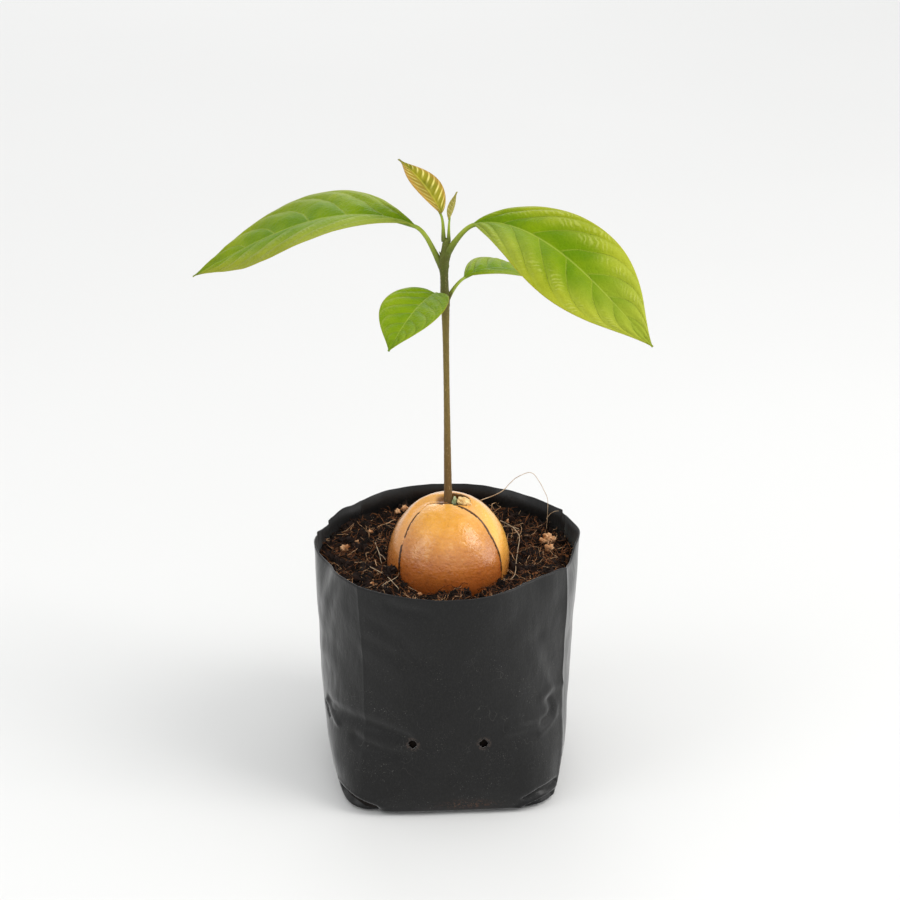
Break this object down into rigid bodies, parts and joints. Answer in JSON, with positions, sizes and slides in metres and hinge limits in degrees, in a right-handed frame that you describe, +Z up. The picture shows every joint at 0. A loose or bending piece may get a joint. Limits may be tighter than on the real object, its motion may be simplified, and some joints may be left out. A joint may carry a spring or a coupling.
{
  "type": "potted avocado seedling",
  "caption": "Young avocado plant in a black film grow bag: slender stem rising from a split, half-buried seed, long drooping leaves, smaller ones below, young shoot on top.",
  "frame": {"origin": "centre of the bag's flat underside, on the axis of its mouth", "axes": "+Z up along the stem, +X to the right and -Y towards the viewer, as in the picture"},
  "size_m": [0.1683, 0.1089, 0.2396],
  "materials": {
    "grow_bag": "thin black polythene film, soft satin shine, fold lines and small creases",
    "potting_mix": "dark brown coir and bark mix, matt, with paler fibres and chips",
    "seed_coat": "bare seed, golden tan to brown towards the mix, smooth with a soft wet-looking shine",
    "stem_bark": "young bark, olive green above and brown below, matt",
    "leaf_stalk": "pale green stalk, soft shine",
    "leaf_blade": "fresh green leaf with paler veins and yellow-green edges, soft shine",
    "young_leaf_blade": "young leaf, yellow-green with bronze edges and pale stripes between its veins",
    "fine_root": "pale tan fine root, matt"
  },
  "bodies": {
    "root": {"grow_bag": "grow_bag", "potting_mix": "potting_mix", "seed_front_half": "seed_coat", "seed_rear_half": "seed_coat", "stem": "stem_bark", "left_leaf_stalk": "leaf_stalk", "right_leaf_stalk": "leaf_stalk", "front_leaf_stalk": "leaf_stalk", "rear_leaf_stalk": "leaf_stalk", "young_leaf_stalk": "leaf_stalk", "bud_leaf_stalk": "leaf_stalk", "left_leaf_blade": "leaf_blade", "right_leaf_blade": "leaf_blade", "front_leaf_blade": "leaf_blade", "rear_leaf_blade": "leaf_blade", "young_leaf_blade": "young_leaf_blade", "bud_leaf_blade": "young_leaf_blade", "arching_root": "fine_root", "right_root": "fine_root", "left_root": "fine_root", "side_root": "fine_root"}
  },
  "joints": []
}
